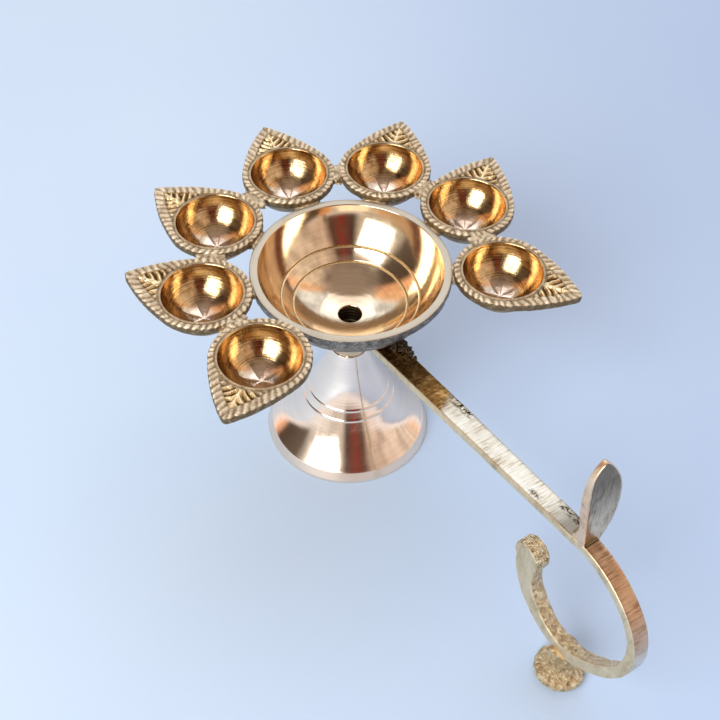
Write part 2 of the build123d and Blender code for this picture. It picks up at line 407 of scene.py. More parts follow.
PIT_PLACES = (              # lowest and highest x, lowest and highest y, in metres
    (0.055, 0.066, 0.0015, 0.0042),
    (0.1005, 0.1045, -0.0023, -0.0009),
    (0.110, 0.122, 0.0010, 0.0040),
    (0.024, 0.036, -0.001, 0.0045),
)


def pit_mask(tree, point):
    """Clusters of casting pits on the handle: small dark specks inside PIT_PLACES."""
    specks = spread(tree, noise(tree, point, 900.0, detail=3.0, roughness=0.6), 0.50, 0.56, 0.0, 1.0)
    x, y, _ = coordinates(tree, point)
    total = None
    for x_low, x_high, y_low, y_high in PIT_PLACES:
        patch = maths(tree, "MULTIPLY", within(tree, x, x_low, x_high, 0.0015),
                      within(tree, y, y_low, y_high, 0.0006))
        total = patch if total is None else maths(tree, "MAXIMUM", total, patch)
    return maths(tree, "MULTIPLY", total, specks)


def shade_and_crease_mask(tree, x, z):
    """Painted shade in the corner under the thumb leaf's back, and a dark line along the crease at its
    front.
    """
    # Painted shade in the corner where the bar runs under the thumb leaf's back.
    painted_corner_shade = maths(tree, "MULTIPLY", within(tree, x, 0.1130, 0.1228, 0.0060), 0.85)
    high_up = spread(tree, z, 0.060, 0.062, 0.0, 1.0)
    crease = maths(tree, "MULTIPLY", within(tree, x, 0.1262, 0.1268, 0.0003), high_up)
    return maths(tree, "MAXIMUM", painted_corner_shade, crease)


def bar_top_metal():
    """Top of the handle: burnt brown by the bowl, then filed pale, then coppery down the curl."""
    material, tree, shader = new_material("bar_top")
    point = object_point(tree)
    x, y, z = coordinates(tree, point)
    streaks, blotches = filed_streaks(tree, point, (1700, 110, 1700))
    shade = blend(tree, streaks, blotches, 0.65)
    pale = colours(tree, shade, (0.37, (0.34, 0.24, 0.12)), (0.48, (0.70, 0.65, 0.53)),
                   (0.64, (0.86, 0.83, 0.73)))
    copper = colours(tree, shade, (0.36, (0.28, 0.15, 0.07)), (0.48, (0.64, 0.41, 0.25)),
                     (0.66, (0.88, 0.66, 0.47)))
    mottle = noise(tree, point, 330.0, detail=6.0, roughness=0.7, distortion=1.0)
    brown = colours(tree, blend(tree, streaks, mottle, 0.35), (0.36, (0.05, 0.025, 0.008)),
                    (0.49, (0.24, 0.12, 0.03)), (0.62, (0.62, 0.39, 0.15)))
    edge = maths(tree, "ADD", x, maths(tree, "MULTIPLY", y, 0.55))
    edge = maths(tree, "ADD", edge, maths(tree, "MULTIPLY", streaks, 0.008))
    burnt = spread(tree, edge, 0.0590, 0.0625, 1.0, 0.0)
    bent = maths(tree, "MULTIPLY", spread(tree, x, 0.1255, 0.1275, 0.0, 1.0),
                 spread(tree, z, 0.0475, 0.0555, 0.0, 1.0))
    colour = mix(tree, burnt, mix(tree, bent, pale, copper), brown)
    pits = pit_mask(tree, point)
    colour = mix(tree, pits, colour, (0.03, 0.02, 0.012))
    # Painted shade: the bar darkens in the corner under the thumb leaf's back, with a dark line along the
    # crease at its front.
    colour = mix(tree, shade_and_crease_mask(tree, x, z), colour, (0.06, 0.035, 0.015))
    rough = spread(tree, streaks, 0.3, 0.7, 0.46, 0.30)
    relief = maths(tree, "SUBTRACT", streaks, maths(tree, "MULTIPLY", pits, 2.0))
    finish_metal(tree, shader, colour, rough, bump(tree, relief, 0.00007))
    return material


def filed_metal(name, dark, middle, pale, across, roughness, darker_above=None):
    """A flat face worked with a file or brush, darker above a height in metres if one is given."""
    material, tree, shader = new_material(name)
    point = object_point(tree)
    streaks, blotches = filed_streaks(tree, point, across)
    shade = blend(tree, streaks, blotches, 0.5)
    colour = colours(tree, shade, (0.36, dark), (0.48, middle), (0.66, pale))
    if darker_above:
        ragged = maths(tree, "MULTIPLY", blotches, 0.02)
        height = maths(tree, "ADD", coordinates(tree, point)[2], ragged)
        darkened = spread(tree, height, darker_above + 0.006, darker_above + 0.022, 0.0, 0.75)
        colour = mix(tree, darkened, colour, dark)
    rough = spread(tree, streaks, 0.3, 0.7, roughness + 0.08, roughness - 0.08)
    finish_metal(tree, shader, colour, rough, bump(tree, streaks, 0.00006))
    return material


POLISHED_BOWL = turned_metal("bowl_inside", (0.88, 0.72, 0.52), (0.72, 0.51, 0.31), 0.08,
                             1500.0, 0.000011, ring_tint=0.16)
RIM_METAL = turned_metal("rim_satin", (0.57, 0.50, 0.39), (0.30, 0.25, 0.17), 0.42, 4200.0, 0.00004)
BOWL_SKIN = cast_metal("bowl_outside", (0.07, 0.065, 0.06), (0.20, 0.18, 0.16), (0.48, 0.43, 0.36), 0.42)
POLISHED_FOOT = turned_metal("foot_outside", (0.98, 0.84, 0.71), (0.86, 0.70, 0.55), 0.08,
                             1300.0, 0.000010, ring_tint=0.12)
BAND_METAL = turned_metal("foot_band", (0.92, 0.78, 0.65), (0.74, 0.58, 0.44), 0.20, 2000.0, 0.000003)
FOOT_SKIN = cast_metal("foot_inside", (0.16, 0.13, 0.09), (0.34, 0.27, 0.18), (0.55, 0.44, 0.29), 0.45)
GROOVE_METAL = groove_metal()
WELL_METAL = well_metal()
LEAF_SKIN = cast_metal("leaf_cast", (0.21, 0.145, 0.075), (0.62, 0.50, 0.33), (0.95, 0.83, 0.62), 0.36,
                       lump_depth=0.00014, relief_share=0.42)
LEAF_VEINS = cast_metal("leaf_veins", (0.12, 0.07, 0.025), (0.66, 0.48, 0.24), (1.0, 0.83, 0.50), 0.24,
                        relief_share=0.55)
CURL_SKIN = cast_metal("curl_cast", (0.10, 0.06, 0.02), (0.72, 0.54, 0.30), (1.0, 0.93, 0.70), 0.18,
                       lump_depth=0.00030, relief_share=0.10, grains=2300.0)
BURNT_SKIN = cast_metal("burnt_braze", (0.015, 0.013, 0.01), (0.05, 0.04, 0.03), (0.30, 0.22, 0.12), 0.5,
                        lump_depth=0.0002)
BAR_TOP = bar_top_metal()
BAR_SIDE = filed_metal("bar_side", (0.52, 0.41, 0.25), (0.74, 0.61, 0.40), (0.87, 0.75, 0.53),
                       (500, 500, 160), 0.46)
THUMB_FACE = filed_metal("thumb_face", (0.10, 0.07, 0.04), (0.50, 0.40, 0.27), (0.88, 0.74, 0.54),
                         (1100, 1100, 200), 0.32, darker_above=0.090)
THUMB_EDGE = filed_metal("thumb_edge", (0.56, 0.37, 0.22), (0.84, 0.60, 0.40), (0.96, 0.77, 0.56),
                         (420, 420, 200), 0.34)
THREAD_METAL = turned_metal("stud_thread", (0.70, 0.52, 0.28), (0.45, 0.32, 0.16), 0.30, 2000.0, 0.00002)
BORE_METAL = turned_metal("bore_dark", (0.10, 0.075, 0.045), (0.05, 0.035, 0.02), 0.45, 2000.0, 0.00002)


# ---------------- bell foot


FOOT_GROOVES = ((14.85, 22.9), (16.75, 19.5))
HOLLOW_TOP = 27.0
BAND_TOP = (28.35, 4.1)     # where the polished skirt ends and the base band starts
BASE_EDGE = (29.8, 0.0)
GROOVE_REACH = 0.41         # half width of the strip that counts as an engraved line


def grooved(profile, grooves, depth, width):
    """Press round-bottomed lines into a profile at the given points."""
    profile = profile.copy()
    tangent = np.gradient(profile, axis=0)
    tangent /= np.linalg.norm(tangent, axis=1)[:, None]
    inward = np.c_[tangent[:, 1], -tangent[:, 0]]
    for groove in grooves:
        away = np.linalg.norm(profile - np.asarray(groove), axis=1)
        profile = profile + inward * (depth * np.exp(-((away / width) ** 2)))[:, None]
    return profile


def grooved_rows(profile, grooves):
    """Which points of a profile lie in an engraved line."""
    away = np.linalg.norm(profile[:, None] - np.asarray(grooves), axis=2)
    return away.min(axis=1) < GROOVE_REACH


def make_foot():
    outside = spline([(6.5, SEAM_Z), (10.35, 32.3), *FOOT_GROOVES, (22.3, 10.6), (28.2, 4.2)], 0.14)
    outside = grooved(outside, FOOT_GROOVES, depth=-0.13, width=0.26)
    profile = tidy_profile(
        line((0.9, SOCKET_FLOOR), (SOCKET_R, SOCKET_FLOOR), (SOCKET_R, SEAM_Z - 0.4),
             (SOCKET_R + 0.4, SEAM_Z)),
        line((6.2, SEAM_Z), (6.5, SEAM_Z - 0.25)),
        outside[2:],
        line(BAND_TOP, (30.0, 0.9), spacing=0.5),
        line((30.15, 0.5), (30.05, 0.08), BASE_EDGE),
        spline([(27.55, 0.0), (25.6, 2.6), (14.0, 17.1), (6.0, HOLLOW_TOP)], 1.2),
        line((5.6, HOLLOW_TOP), (0.9, HOLLOW_TOP)),
    )
    sectors = 224
    rows = len(profile)
    points = np.vstack([lathe_points(profile, sectors), [(0, 0, SOCKET_FLOOR), (0, 0, HOLLOW_TOP)]])
    row = np.arange(rows - 1)
    in_band = row >= nearest_row(profile, BAND_TOP)
    in_hollow = row >= nearest_row(profile, BASE_EDGE)
    indices = np.repeat(np.where(in_hollow, 2, np.where(in_band, 1, 0)), sectors).tolist()
    indices += [2] * (2 * sectors)
    mesh_piece("foot_bell", points, flip_all(capped_faces(rows, sectors)),
               [POLISHED_FOOT, BAND_METAL, FOOT_SKIN], "foot", ["bell_foot"], indices)


# ---------------- stud with a real thread


def make_stud():
    """Screwed rod whose ridges climb one pitch a turn and fade at both ends."""
    low, high = 33.0, 49.4
    core, crest = 3.05, 3.48
    sectors = 72
    rows = int((high - low) / 0.125) + 1
    heights = np.linspace(low, high, rows)
    turn = np.arange(sectors) / sectors
    phase = (heights[:, None] / THREAD_PITCH - turn[None, :]) % 1.0
    ridge = 1 - np.abs(2 * phase - 1)
    radius = core + (crest - core) * ramp(ridge, 0.15, 0.85)
    end_fade = np.minimum(ramp(heights, low, low + 0.8), 1 - ramp(heights, high - 0.8, high))
    radius = core - 0.3 + (radius - core + 0.3) * np.clip(end_fade, 0.05, 1)[:, None]
    x = radius * np.cos(turn * 2 * math.pi)
    y = radius * np.sin(turn * 2 * math.pi)
    z = np.repeat(heights[:, None], sectors, axis=1)
    points = np.vstack([np.stack([x, y, z], axis=2).reshape(-1, 3), [(0, 0, low), (0, 0, high)]])
    mesh_piece("stud_threaded", points, capped_faces(rows, sectors), [THREAD_METAL], "stud",
               ["joining_stud"])


# ---------------- oil bowl


INSIDE_R, BELLY_R = 33.07, 35.47        # spheres of the bowl's inside and outside
SPHERE_CENTRE_Z = RIM_Z + 10.07
RIM_START = (31.6, RIM_Z - 0.05)
RIM_SIDE = (34.12, RIM_Z - 0.1)
BORE_START = (SOCKET_R, SEAM_Z + 0.3)


def bowl_point(sphere_r, radius):
    """Point of one of the bowl's spheres, at a distance from the axis."""
    return (radius, SPHERE_CENTRE_Z - math.sqrt(sphere_r**2 - radius**2))


def bowl_arc(sphere_r, start, end, count):
    """Points on one of the bowl's spheres between two distances from the axis."""
    angles = [math.degrees(math.asin(radius / sphere_r)) for radius in (start, end)]
    return circle_arc((0.0, SPHERE_CENTRE_Z), sphere_r, *angles, count)


ENGRAVED_LINES = tuple(bowl_point(INSIDE_R, radius) for radius in (23.8, 19.7))


def bowl_profile():
    """Section of the bowl: up the inside, over the rim, down the outside, and up the bore."""
    inside = bowl_arc(INSIDE_R, HOLE_R + 0.35, 31.45, 230)
    inside = grooved(inside, ENGRAVED_LINES, depth=0.30, width=0.24)
    belly = bowl_arc(BELLY_R, 32.8, 9.5, 34)
    bore_top = (HOLE_R, bowl_point(INSIDE_R, HOLE_R)[1] - 0.5)
    return tidy_profile(
        line(bore_top, bowl_point(INSIDE_R, HOLE_R + 0.35)),
        inside,
        line(RIM_START, (31.8, RIM_Z), (33.9, RIM_Z)),
        line(RIM_SIDE, (34.2, RIM_Z - 0.35), (34.2, RIM_Z - 2.9), (34.0, RIM_Z - 3.2)),
        line((32.9, RIM_Z - 3.25), belly[0]),
        belly,
        spline([tuple(belly[-1]), (8.2, 53.5), (7.3, 49.0), (6.9, 45.9), (6.5, SEAM_Z)], 0.8),
        line((6.3, SEAM_Z), (SOCKET_R + 0.3, SEAM_Z)),
        line(BORE_START, (SOCKET_R, 51.3), (HOLE_R, 51.7), bore_top, spacing=0.2),
    )[:-1]


def make_bowl():
    profile = bowl_profile()
    sectors = 240
    rows = len(profile)
    points = lathe_points(profile, sectors)
    ring = np.repeat(np.arange(rows), sectors)
    turn = np.tile(np.arange(sectors) / sectors, rows)
    radius = np.hypot(points[:, 0], points[:, 1])
    in_bore = (radius < HOLE_R + 0.05) & (ring > rows // 2)
    groove = 0.30 * ramp(np.abs(2 * ((points[:, 2] / THREAD_PITCH - turn) % 1.0) - 1), 0.1, 0.9)
    points[:, :2] *= (1 + np.where(in_bore, groove / np.maximum(radius, 1), 0))[:, None]
    rim_row, side_row, bore_row = (nearest_row(profile, at) for at in (RIM_START, RIM_SIDE, BORE_START))
    outside = (ring > side_row) & (ring < bore_row - 4)
    normal = np.c_[points[:, :2] / np.maximum(radius, 1)[:, None], np.zeros(len(points))]
    lumps = 0.16 * grain(points, 2.2) + 0.09 * grain(points, 0.9, 5.0)
    fade = ramp(points[:, 2], 46.0, 50.0)
    points = points + normal * (np.where(outside, lumps, 0) * fade)[:, None]
    row = np.arange(rows)
    zones = [grooved_rows(profile, ENGRAVED_LINES), row < rim_row, row < side_row, row < bore_row]
    index = np.select(zones, [4, 0, 1, np.where(profile[:, 1] > 47, 2, 0)], 3)
    metals = [POLISHED_BOWL, RIM_METAL, BOWL_SKIN, BORE_METAL, GROOVE_METAL]
    mesh_piece("bowl_turned", points, flip_all(grid_faces(rows, sectors, close_rows=True)), metals, "head",
               ["oil_bowl"], np.repeat(index, sectors))


# ---------------- leaf cups

SIDE_START = np.array([LEAF_R * math.cos(LEAF_SHOULDER), LEAF_R * math.sin(LEAF_SHOULDER)])
SIDE_NORMAL = np.array([-math.cos(LEAF_SHOULDER), -math.sin(LEAF_SHOULDER)])
SIDE_REACH = np.array([LEAF_TIP, 0.0]) - SIDE_START
SIDE_R = float(SIDE_REACH @ SIDE_REACH / (2 * SIDE_REACH @ SIDE_NORMAL))
SIDE_CENTRE = SIDE_START + SIDE_NORMAL * SIDE_R
SIDE_TIP_ANGLE = math.atan2(-SIDE_CENTRE[1], LEAF_TIP - SIDE_CENTRE[0])
SIDE_LENGTH = SIDE_R * (math.atan2(*(SIDE_START - SIDE_CENTRE)[::-1]) - SIDE_TIP_ANGLE)
HALF_LENGTH = SIDE_LENGTH + LEAF_R * (math.pi - LEAF_SHOULDER)
TIP_CENTRE_X = SIDE_CENTRE[0] + math.sqrt((SIDE_R - TIP_ROUND) ** 2 - SIDE_CENTRE[1] ** 2)
TIP_TURN = math.atan2(-SIDE_CENTRE[1], TIP_CENTRE_X - SIDE_CENTRE[0])
TIP_LENGTH = SIDE_R * (TIP_TURN - SIDE_TIP_ANGLE)       # run of the edge that the rounding takes off
RIDGES = 48
RIDGE_PITCH = 2 * HALF_LENGTH / RIDGES
RIDGE_SLANT = 0.47
BAND = 3.6                  # width of the ridged border
POCKET = 0.9                # depth of the veined hollow at the tip
FACE_ROWS = 28
SPHERE_R = (WELL_R**2 + WELL_DEPTH**2) / (2 * WELL_DEPTH)
SPHERE_Z = SPHERE_R - WELL_DEPTH        # centre of the well's sphere, above the lip
CUP_R = SPHERE_R + WELL_WALL


def leaf_edge(along):
    """Point on the leaf's outline, by its distance from the tip round the edge (signed by side)."""
    side = np.sign(along)
    distance = np.abs(along)
    turn = SIDE_TIP_ANGLE + distance / SIDE_R
    straight = SIDE_CENTRE + SIDE_R * np.stack([np.cos(turn), np.sin(turn)], axis=-1)
    bend = LEAF_SHOULDER + (distance - SIDE_LENGTH) / LEAF_R
    rounded = LEAF_R * np.stack([np.cos(bend), np.sin(bend)], axis=-1)
    point = np.where((distance < SIDE_LENGTH)[..., None], straight, rounded)
    tip_turn = TIP_TURN * distance / TIP_LENGTH
    tip = np.stack([TIP_CENTRE_X + TIP_ROUND * np.cos(tip_turn), TIP_ROUND * np.sin(tip_turn)], axis=-1)
    point = np.where((distance < TIP_LENGTH)[..., None], tip, point)
    return point * np.stack([np.ones_like(side), np.where(side == 0, 1, side)], axis=-1)


def leaf_distance(x, y):
    """Distance inside the leaf's outline, and distance from the tip round the edge."""
    y = np.abs(y)
    angle = np.arctan2(y, x)
    off_side = SIDE_R - np.hypot(x - SIDE_CENTRE[0], y - SIDE_CENTRE[1])
    off_round = LEAF_R - np.hypot(x, y)
    inside = np.where(angle < LEAF_SHOULDER, off_side, off_round)
    turn = np.arctan2(y - SIDE_CENTRE[1], x - SIDE_CENTRE[0]) - SIDE_TIP_ANGLE
    along = np.where(angle < LEAF_SHOULDER, turn * SIDE_R, SIDE_LENGTH + LEAF_R * (angle - LEAF_SHOULDER))
    return inside, along


def leaf_relief(x, y, seed):
    """Height of the leaf's upper face above its plane, and how exposed each point is, 0 to 1."""
    inside, along = leaf_distance(x, y)
    radius = np.hypot(x, y)
    flat = np.stack([x, y, np.full_like(x, seed * 7.0)], axis=-1)
    wobble = 0.30 * grain(flat, 3.5, seed) + 0.12 * grain(flat, 1.2, seed + 5)
    phase = (along - RIDGE_SLANT * inside) / RIDGE_PITCH + wobble
    ridge = (0.5 + 0.5 * np.cos(2 * math.pi * phase)) ** 0.6
    band = ramp(inside, 0.0, 0.6) * (1 - ramp(inside, BAND - 0.6, BAND))
    band = band * ramp(radius, WELL_R + 0.7, WELL_R + 1.3)
    strength = 0.80 + 0.35 * grain(flat, 3.0, seed + 3)
    height = 0.68 * ridge * band * strength
    hollow = ramp(inside, BAND - 0.3, BAND + 0.6) * ramp(radius, WELL_R + 0.9, WELL_R + 1.8)
    vein_phase = (x - 0.85 * np.abs(y)) / 2.9 + 0.18 * grain(flat, 2.0, seed + 9)
    veins = 0.5 + 0.5 * np.cos(2 * math.pi * vein_phase)
    spine = np.exp(-((y / 0.85) ** 2))
    raised = np.maximum(veins, spine)
    height = height + hollow * (-POCKET + 1.15 * raised)
    height = height + 0.09 * grain(flat, 0.9, seed + 1) + 0.05 * grain(flat, 0.45, seed + 2)
    lip = ramp(radius, WELL_R + 0.45, WELL_R + 0.85)
    height = LEAF_FACE + height * lip + (1 - lip) * (-LEAF_FACE - 0.12)
    exposed = 0.19 + 0.68 * ridge * band * strength + hollow * (0.75 * raised - 0.08 + 0.15 * spine)
    worn_edge = 0.35 * ramp(inside, 1.2, 0.2) * ridge
    return height, np.clip(exposed + worn_edge, 0, 1)


def leaf_well(direction, seed):
    """Rings over the polished well from its pointed bottom up, as radius, height and exposure."""
    around = np.arctan2(direction[:, 1], direction[:, 0])
    petal = np.abs(np.sin(3.5 * around + seed)) ** 0.35
    for share in np.linspace(0.035, 1, 26):
        tilt = share * math.asin(WELL_R / SPHERE_R)
        radius = SPHERE_R * math.sin(tilt)
        depth = SPHERE_Z - SPHERE_R * math.cos(tilt)
        star = -0.22 * (1 - petal) * float(ramp(radius, 0.3, 1.2) * (1 - ramp(radius, 4.0, 7.5)))
        point_down = -0.30 * math.exp(-((radius / 2.0) ** 2))
        yield radius, depth + star + point_down, 0.5


def leaf_face(direction, edge_r, scallop, seed):
    """Rings over the worn lip and the ridged face, out to the edge."""
    worn_lip = -0.10 + 0.09 * grain(np.c_[direction * WELL_R, np.full(len(direction), seed)], 1.3, seed)
    yield WELL_R + 0.10, worn_lip, 0.35
    yield WELL_R + 0.35, worn_lip, 0.45
    for share in np.linspace(0, 1, FACE_ROWS) ** 0.9:
        radius = (WELL_R + 0.7) * (1 - share) + (edge_r + scallop) * share
        yield radius, *leaf_relief(direction[:, 0] * radius * 0.999, direction[:, 1] * radius * 0.999, seed)


def leaf_underside(edge, edge_r, scallop, top_edge, seed):
    """Rings down the edge, along the underside and over the outside of the cup."""
    columns = len(edge)
    direction = edge / edge_r[:, None]
    bottom = LEAF_FACE - PLATE_THICK
    for share, grow in ((0.15, 0.06), (0.5, 0.02), (0.85, -0.05), (1.0, -0.3)):
        rough = 0.12 * grain(np.c_[edge, np.full(columns, share * 9)], 1.6, seed + 4)
        yield edge_r + scallop * (1 - share) + grow + rough, top_edge * (1 - share) + bottom * share, 0.12
    joint_r = math.sqrt(CUP_R**2 - (SPHERE_Z - bottom) ** 2)
    for share in (0.35, 0.7, 1.0):
        radius = (edge_r - 0.6) * (1 - share) + joint_r * share
        yield radius, bottom + 0.08 * grain(np.c_[edge, radius], 1.5, seed), 0.15
    start = math.asin(joint_r / CUP_R)
    for share in np.linspace(0.93, 0.04, 13):
        tilt = start * share
        lump = 0.12 * grain(np.c_[direction * CUP_R * math.sin(tilt), np.full(columns, tilt * 9)], 2.0, seed)
        yield CUP_R * math.sin(tilt) + lump * math.sin(tilt), SPHERE_Z - CUP_R * math.cos(tilt) + lump, 0.2


def leaf_materials(points, rows, well_rows, columns):
    """Cast skin 0, polished well 1 and veined hollow 2, face by face."""
    row = np.repeat(np.arange(rows - 1), columns)
    x, y = points[:len(row), 0], points[:len(row), 1]
    on_top = (row > well_rows + 1) & (row < well_rows + FACE_ROWS)
    veined = on_top & (leaf_distance(x, y)[0] > BAND - 0.1) & (x > WELL_R + 0.8) & (np.abs(y) < 5.5)
    indices = np.where(row < well_rows - 1, 1, np.where(veined, 2, 0)).tolist()
    return indices + [1] * columns + [0] * columns


def make_leaf(number):
    """One leaf casting. In its own frame the origin is the well's centre at lip height, +X its tip."""
    seed = 1.7 * number + 0.3
    columns = 8 * RIDGES
    along = (np.arange(columns) / columns * 2 - 1) * HALF_LENGTH
    edge = leaf_edge(along)
    edge_r = np.hypot(edge[:, 0], edge[:, 1])
    direction = edge / edge_r[:, None]
    phase = np.abs(along) / RIDGE_PITCH
    scallop = -0.26 + 0.20 * np.cos(2 * math.pi * phase) + 0.10 * grain(np.c_[edge, edge_r * 0], 2.5, seed)
    well = list(leaf_well(direction, seed))
    face = list(leaf_face(direction, edge_r, scallop, seed))
    rings = well + face + list(leaf_underside(edge, edge_r, scallop, face[-1][1], seed))
    shell = [np.c_[direction * np.reshape(radius, (-1, 1)), np.broadcast_to(height, columns)]
             for radius, height, _ in rings]
    points = np.vstack([*shell, (0, 0, -WELL_DEPTH - 0.3), (0, 0, SPHERE_Z - CUP_R)])
    exposed = np.concatenate([*(np.broadcast_to(shown, columns) for _, _, shown in rings), (0.5, 0.2)])
    indices = leaf_materials(points, len(rings), len(well), columns)
    azimuth = CUP_AZIMUTHS[number]
    placed = turned(points, azimuth + LEAF_TURNS[number]) + ring_point(CUP_RING_R, azimuth, LIP_Z)
    mesh_piece(f"leaf_cup_{number + 1}_cast", placed, flip_all(capped_faces(len(rings), columns)),
               [LEAF_SKIN, WELL_METAL, LEAF_VEINS], "head", [f"leaf_cup_{number + 1}"],
               indices, exposed, points)


# ---------------- brazed joints


def make_lump(name, centre, size, turn, material, cad_nodes, seed, rough=0.25):
    """A lump of filler metal: a squarish rounded blob with a grainy skin."""
    rows, columns = 26, 48
    squareness = 2.6
    tilt = np.linspace(0.06, math.pi - 0.06, rows)[:, None]
    spin = np.arange(columns)[None, :] * 2 * math.pi / columns
    x = np.sin(tilt) * np.cos(spin)
    y = np.sin(tilt) * np.sin(spin)
    z = np.cos(tilt) + 0 * spin
    unit = np.vstack([np.stack([x, y, z], axis=2).reshape(-1, 3), [(0, 0, 1), (0, 0, -1)]])
    blob = unit / (np.sum(np.abs(unit) ** squareness, axis=1) ** (1 / squareness))[:, None]
    swell = 1 + rough * grain(unit * 3.0, 1.0, seed) + 0.5 * rough * grain(unit * 3.0, 0.4, seed + 2)
    points = blob * swell[:, None] * (np.asarray(size) / 2)
    points = turned(points, turn) + np.asarray(centre)
    exposed = np.clip(0.45 + 0.4 * grain(points, 1.2, seed), 0, 1)
    mesh_piece(name, points, flip_all(capped_faces(rows, columns)), [material], "head", cad_nodes,
               relief=exposed)


def make_leaf_brazes():
    bridge_r = CUP_RING_R * math.cos(math.radians(20)) - 1.0
    for gap, (first, second) in enumerate(itertools.pairwise(CUP_AZIMUTHS)):
        azimuth = (first + second) / 2
        make_lump(f"leaf_bridge_{gap + 1}", ring_point(bridge_r, azimuth, LIP_Z - 1.5), (9.6, 4.6, 2.7),
                  azimuth, LEAF_SKIN, ["leaf_brazes"] if gap == 0 else [], 3.1 * gap)


def make_rim_brazes():
    for cup, azimuth in enumerate(CUP_AZIMUTHS):
        make_lump(f"rim_tack_{cup + 1}", ring_point(35.0, azimuth, RIM_Z - 0.9), (3.0, 8.5, 2.4),
                  azimuth, LEAF_SKIN, ["rim_brazes"] if cup == 0 else [], 2.3 * cup + 1)


BURNT_LUMPS = (             # x, y, height above the rim, size
    (23.6, 3.6, -18.0, 4.2),
    (26.0, 4.1, -17.6, 3.4),
    (28.6, 4.0, -17.1, 2.6),
    (31.0, 3.9, -16.9, 1.9),
    (23.6, 3.4, -20.6, 5.0),
    (26.0, 3.6, -19.8, 3.8),
    (25.0, 1.2, -17.6, 2.8),
    (33.4, 3.9, -16.8, 1.3),
    (27.8, 2.2, -17.0, 1.8),
)


def make_handle_braze():
    """Burnt lumps of filler beside the bar, close under the bowl."""
    for number, (x, y, rise, size) in enumerate(BURNT_LUMPS):
        make_lump(f"handle_braze_{number + 1}", (x, y, RIM_Z + rise), (size, size * 0.8, size * 0.8),
                  23 * number, BURNT_SKIN, ["handle_braze"] if number == 0 else [], 1.9 * number, rough=0.5)


# ---------------- handle

BAR_STATIONS = (            # distance from the axis, middle below the rim, thickness, half width
    (18.5, 20.4, 3.5, 4.4),
    (60.0, 15.7, 3.4, 4.1),
    (100.0, 11.15, 3.3, 3.7),
    (119.0, 9.05, 3.3, 3.5),
)
CURL_STATIONS = (
    (127.0, 8.85, 3.5, 3.05),
    (134.0, 10.2, 3.6, 3.0),
    (141.0, 13.6, 3.6, 3.0),
    (147.0, 18.7, 3.5, 3.0),
    (151.0, 25.3, 3.4, 3.0),
    (152.4, 33.0, 3.4, 3.0),
    (150.8, 42.0, 3.6, 3.0),
    (146.5, 49.9, 3.8, 3.0),
    (140.3, 56.8, 4.0, 3.0),
    (133.0, 62.4, 4.5, 3.0),
    (125.0, 65.0, 5.0, 3.0),
    (117.6, 63.3, 5.6, 3.0),
    (111.0, 58.6, 6.8, 3.0),
    (106.6, 52.4, 7.7, 3.0),
    (104.9, 46.0, 8.9, 3.0),
    (105.0, 40.5, 10.2, 2.95),
)
KNOB = (105.1, 39.1, 5.7)   # distance, drop and radius of the round knob that ends the curl
PAD_X = 126.7
FILED_RUN = 160             # run of the strip, from under the bowl, whose top is filed
FLAT_RUN = 116              # run whose underside is flat and matt


def strip_section(columns, square):
    """Unit outline of a bar's section, from -1 to 1 both ways, with rounded corners."""
    angle = np.arange(columns) * 2 * math.pi / columns
    c, s = np.cos(angle), np.sin(angle)
    size = (np.abs(c) ** square + np.abs(s) ** square) ** (-1 / square)
    return np.c_[c * size, s * size]


def strip_path():
    """Middle, thickness, half width and heading of the strip from the bowl to the neck of the knob."""
    stations = [(x, RIM_Z - drop, thick, half) for x, drop, thick, half in BAR_STATIONS + CURL_STATIONS]
    path = spline(stations, 0.55)
    along = np.gradient(path[:, :2], axis=0)
    along /= np.linalg.norm(along, axis=1)[:, None]
    length = np.r_[0, np.cumsum(np.linalg.norm(np.diff(path[:, :2], axis=0), axis=1))]
    return path, along, length


def strip_points(path, along, length, columns):
    """Rings of points round the strip; the curl's inner side leans, as the pattern left its mould."""
    rings = []
    lean = ramp(length, 125, 150)
    rounding = ramp(length, 165, 200)
    for row, (x, z, thick, half) in enumerate(path):
        section = strip_section(columns, 9.0 - 3.0 * float(rounding[row]))
        inner = np.clip(-section[:, 1], 0, 1)
        draft = lean[row] * inner * (0.15 - 0.55 * section[:, 0])
        lift = section[:, 1] * thick / 2 - draft
        rings.append(np.c_[x - along[row][1] * lift, section[:, 0] * half, z + along[row][0] * lift])
    return np.array(rings)


def strip_materials(length, columns):
    """Filed top, matt sides, and a rough skin inside the curl and round its end."""
    eighth = columns // 8
    indices = []
    for row in range(len(length) - 1):
        for column in range(columns):
            if eighth <= column < 3 * eighth:
                indices.append(0 if length[row] < FILED_RUN else 2)
            elif 5 * eighth <= column < 7 * eighth:
                indices.append(1 if length[row] < FLAT_RUN else 2)
            else:
                indices.append(1)
    return indices + [1] * columns + [2] * columns


def make_handle():
    columns = 64
    path, along, length = strip_path()
    points = strip_points(path, along, length, columns)
    outward = points - points.mean(axis=1, keepdims=True)
    outward /= np.maximum(np.linalg.norm(outward, axis=2, keepdims=True), 0.2)
    cast = ramp(length, 116, 146)[:, None]
    column = np.arange(columns)
    inner_face = (column > columns * 0.55) & (column < columns * 0.95)
    lumps = 0.16 * grain(points, 2.2, 2.0) + 0.10 * grain(points, 0.8, 4.0)
    lumps = (lumps - 0.05) * cast * np.where(inner_face, 1.0, 0.2)
    wear = -0.10 + 0.08 * grain(points, 6.0, 8.0) + 0.04 * grain(points, 1.1, 6.0)
    points = points + outward * (lumps + wear)[..., None]
    points = points.reshape(-1, 3)
    points = np.vstack([points, points[:columns].mean(axis=0), points[-columns:].mean(axis=0)])
    exposed = np.clip(0.5 + 0.5 * grain(points, 1.1, 3.0), 0, 1)
    mesh_piece("handle_strip", points, flip_all(capped_faces(len(path), columns)),
               [BAR_TOP, BAR_SIDE, CURL_SKIN], "head", ["handle_bar"],
               strip_materials(length, columns), exposed)


